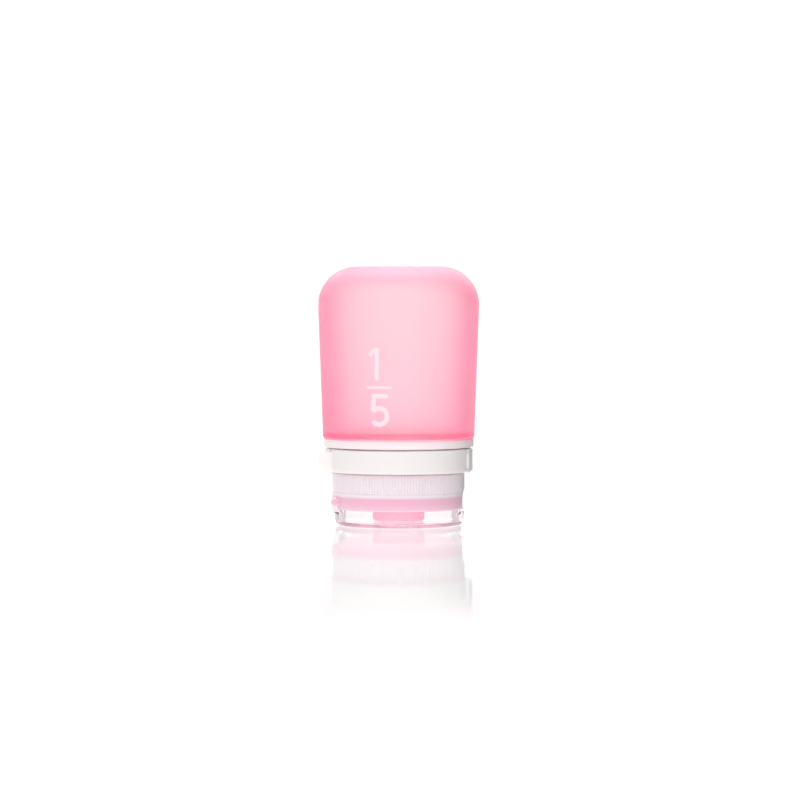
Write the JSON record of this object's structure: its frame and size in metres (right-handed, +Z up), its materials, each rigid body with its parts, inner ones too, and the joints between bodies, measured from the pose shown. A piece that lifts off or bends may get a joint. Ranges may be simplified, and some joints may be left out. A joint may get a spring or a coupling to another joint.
{
  "type": "travel silicone bottle",
  "caption": "Soft round squeeze bottle that stands on a flip cap, with a screw cap, a slit valve and a swing-open loop band round its neck for hanging.",
  "frame": {"origin": "on the bottle's axis, in the outer face of the closed flip lid, which the bottle stands on", "axes": "+Z up the bottle's axis to its base, which is at the top in this pose; -Y the front with the loop arm; -X the lid's hinge and the pull tab"},
  "size_m": [0.0444, 0.0444, 0.0706],
  "materials": {
    "silicone": "translucent satin silicone",
    "collar": "natural satin plastic",
    "band": "white satin plastic",
    "cap": "frosted translucent plastic",
    "lid": "clear moulded plastic",
    "valve": "soft silicone",
    "retainer": "natural plastic",
    "gasket": "soft translucent ring"
  },
  "bodies": {
    "bottle": {"bottle_body": "silicone", "neck_collar": "collar", "band_frame": "band"},
    "loop": {"loop_arm": "band"},
    "seal": {"cap_gasket": "gasket"},
    "cap": {"cap_base": "cap", "valve": "valve", "valve_retainer": "retainer"},
    "lid": {"flip_lid": "lid"}
  },
  "joints": [
    {"name": "arm_open", "type": "hinge", "parent": "bottle", "child": "loop", "pos_m": [0.0185, -0.00747, 0.0178], "axis": [0, 0, 1], "range_deg": [0, 120]},
    {"name": "cap_lift", "type": "slide", "parent": "bottle", "child": "seal", "axis": [0, 0, -1], "range_m": [0, 0.0084]},
    {"name": "cap_turn", "type": "hinge", "parent": "seal", "child": "cap", "pos_m": [0, 0, 0.01], "axis": [0, 0, -1], "range_deg": [0, 720]},
    {"name": "lid_flip", "type": "hinge", "parent": "cap", "child": "lid", "pos_m": [-0.01743, 0, 0.0066], "axis": [0, 1, 0], "range_deg": [0, 130]}
  ],
  "couplings": [
    {"joint": "cap_lift", "follows": "cap_turn", "m_per_rad": 0.00066845}
  ]
}
